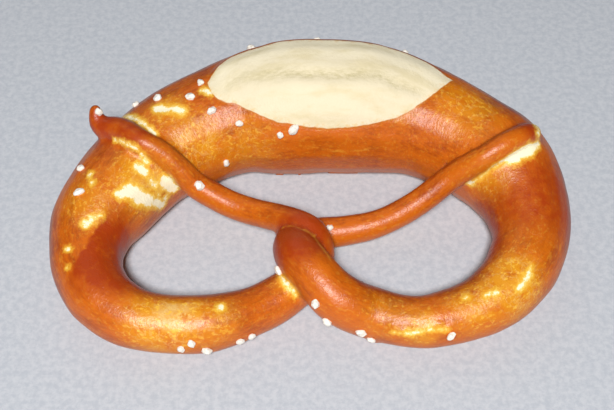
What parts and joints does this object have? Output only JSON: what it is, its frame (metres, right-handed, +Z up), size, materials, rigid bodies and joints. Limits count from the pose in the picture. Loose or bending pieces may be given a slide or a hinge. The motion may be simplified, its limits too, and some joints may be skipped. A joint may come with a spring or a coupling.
{
  "type": "soft pretzel",
  "caption": "Soft pretzel: a tapered rope of baked dough, looped, crossed over itself and pressed onto its shoulders, with a pale split and coarse salt.",
  "frame": {"origin": "on the surface the pretzel rests on, under the middle of its bounding box", "axes": "+X across the pretzel, +Y from the crossing towards the thick belly, +Z up"},
  "size_m": [0.1594, 0.1088, 0.0409],
  "materials": {
    "crust": "satin",
    "salt": "satin"
  },
  "bodies": {
    "root": {"baked_dough": "crust", "salt_grain_01": "salt", "salt_grain_02": "salt", "salt_grain_03": "salt", "salt_grain_04": "salt", "salt_grain_05": "salt", "salt_grain_06": "salt", "salt_grain_07": "salt", "salt_grain_08": "salt", "salt_grain_09": "salt", "salt_grain_10": "salt", "salt_grain_11": "salt", "salt_grain_12": "salt", "salt_grain_13": "salt", "salt_grain_14": "salt", "salt_grain_15": "salt", "salt_grain_16": "salt", "salt_grain_17": "salt", "salt_grain_18": "salt", "salt_grain_19": "salt", "salt_grain_20": "salt", "salt_grain_21": "salt", "salt_grain_22": "salt", "salt_grain_23": "salt", "salt_grain_24": "salt", "salt_grain_25": "salt", "salt_grain_26": "salt", "salt_grain_27": "salt", "salt_grain_28": "salt", "salt_grain_29": "salt", "salt_grain_30": "salt"}
  },
  "joints": []
}
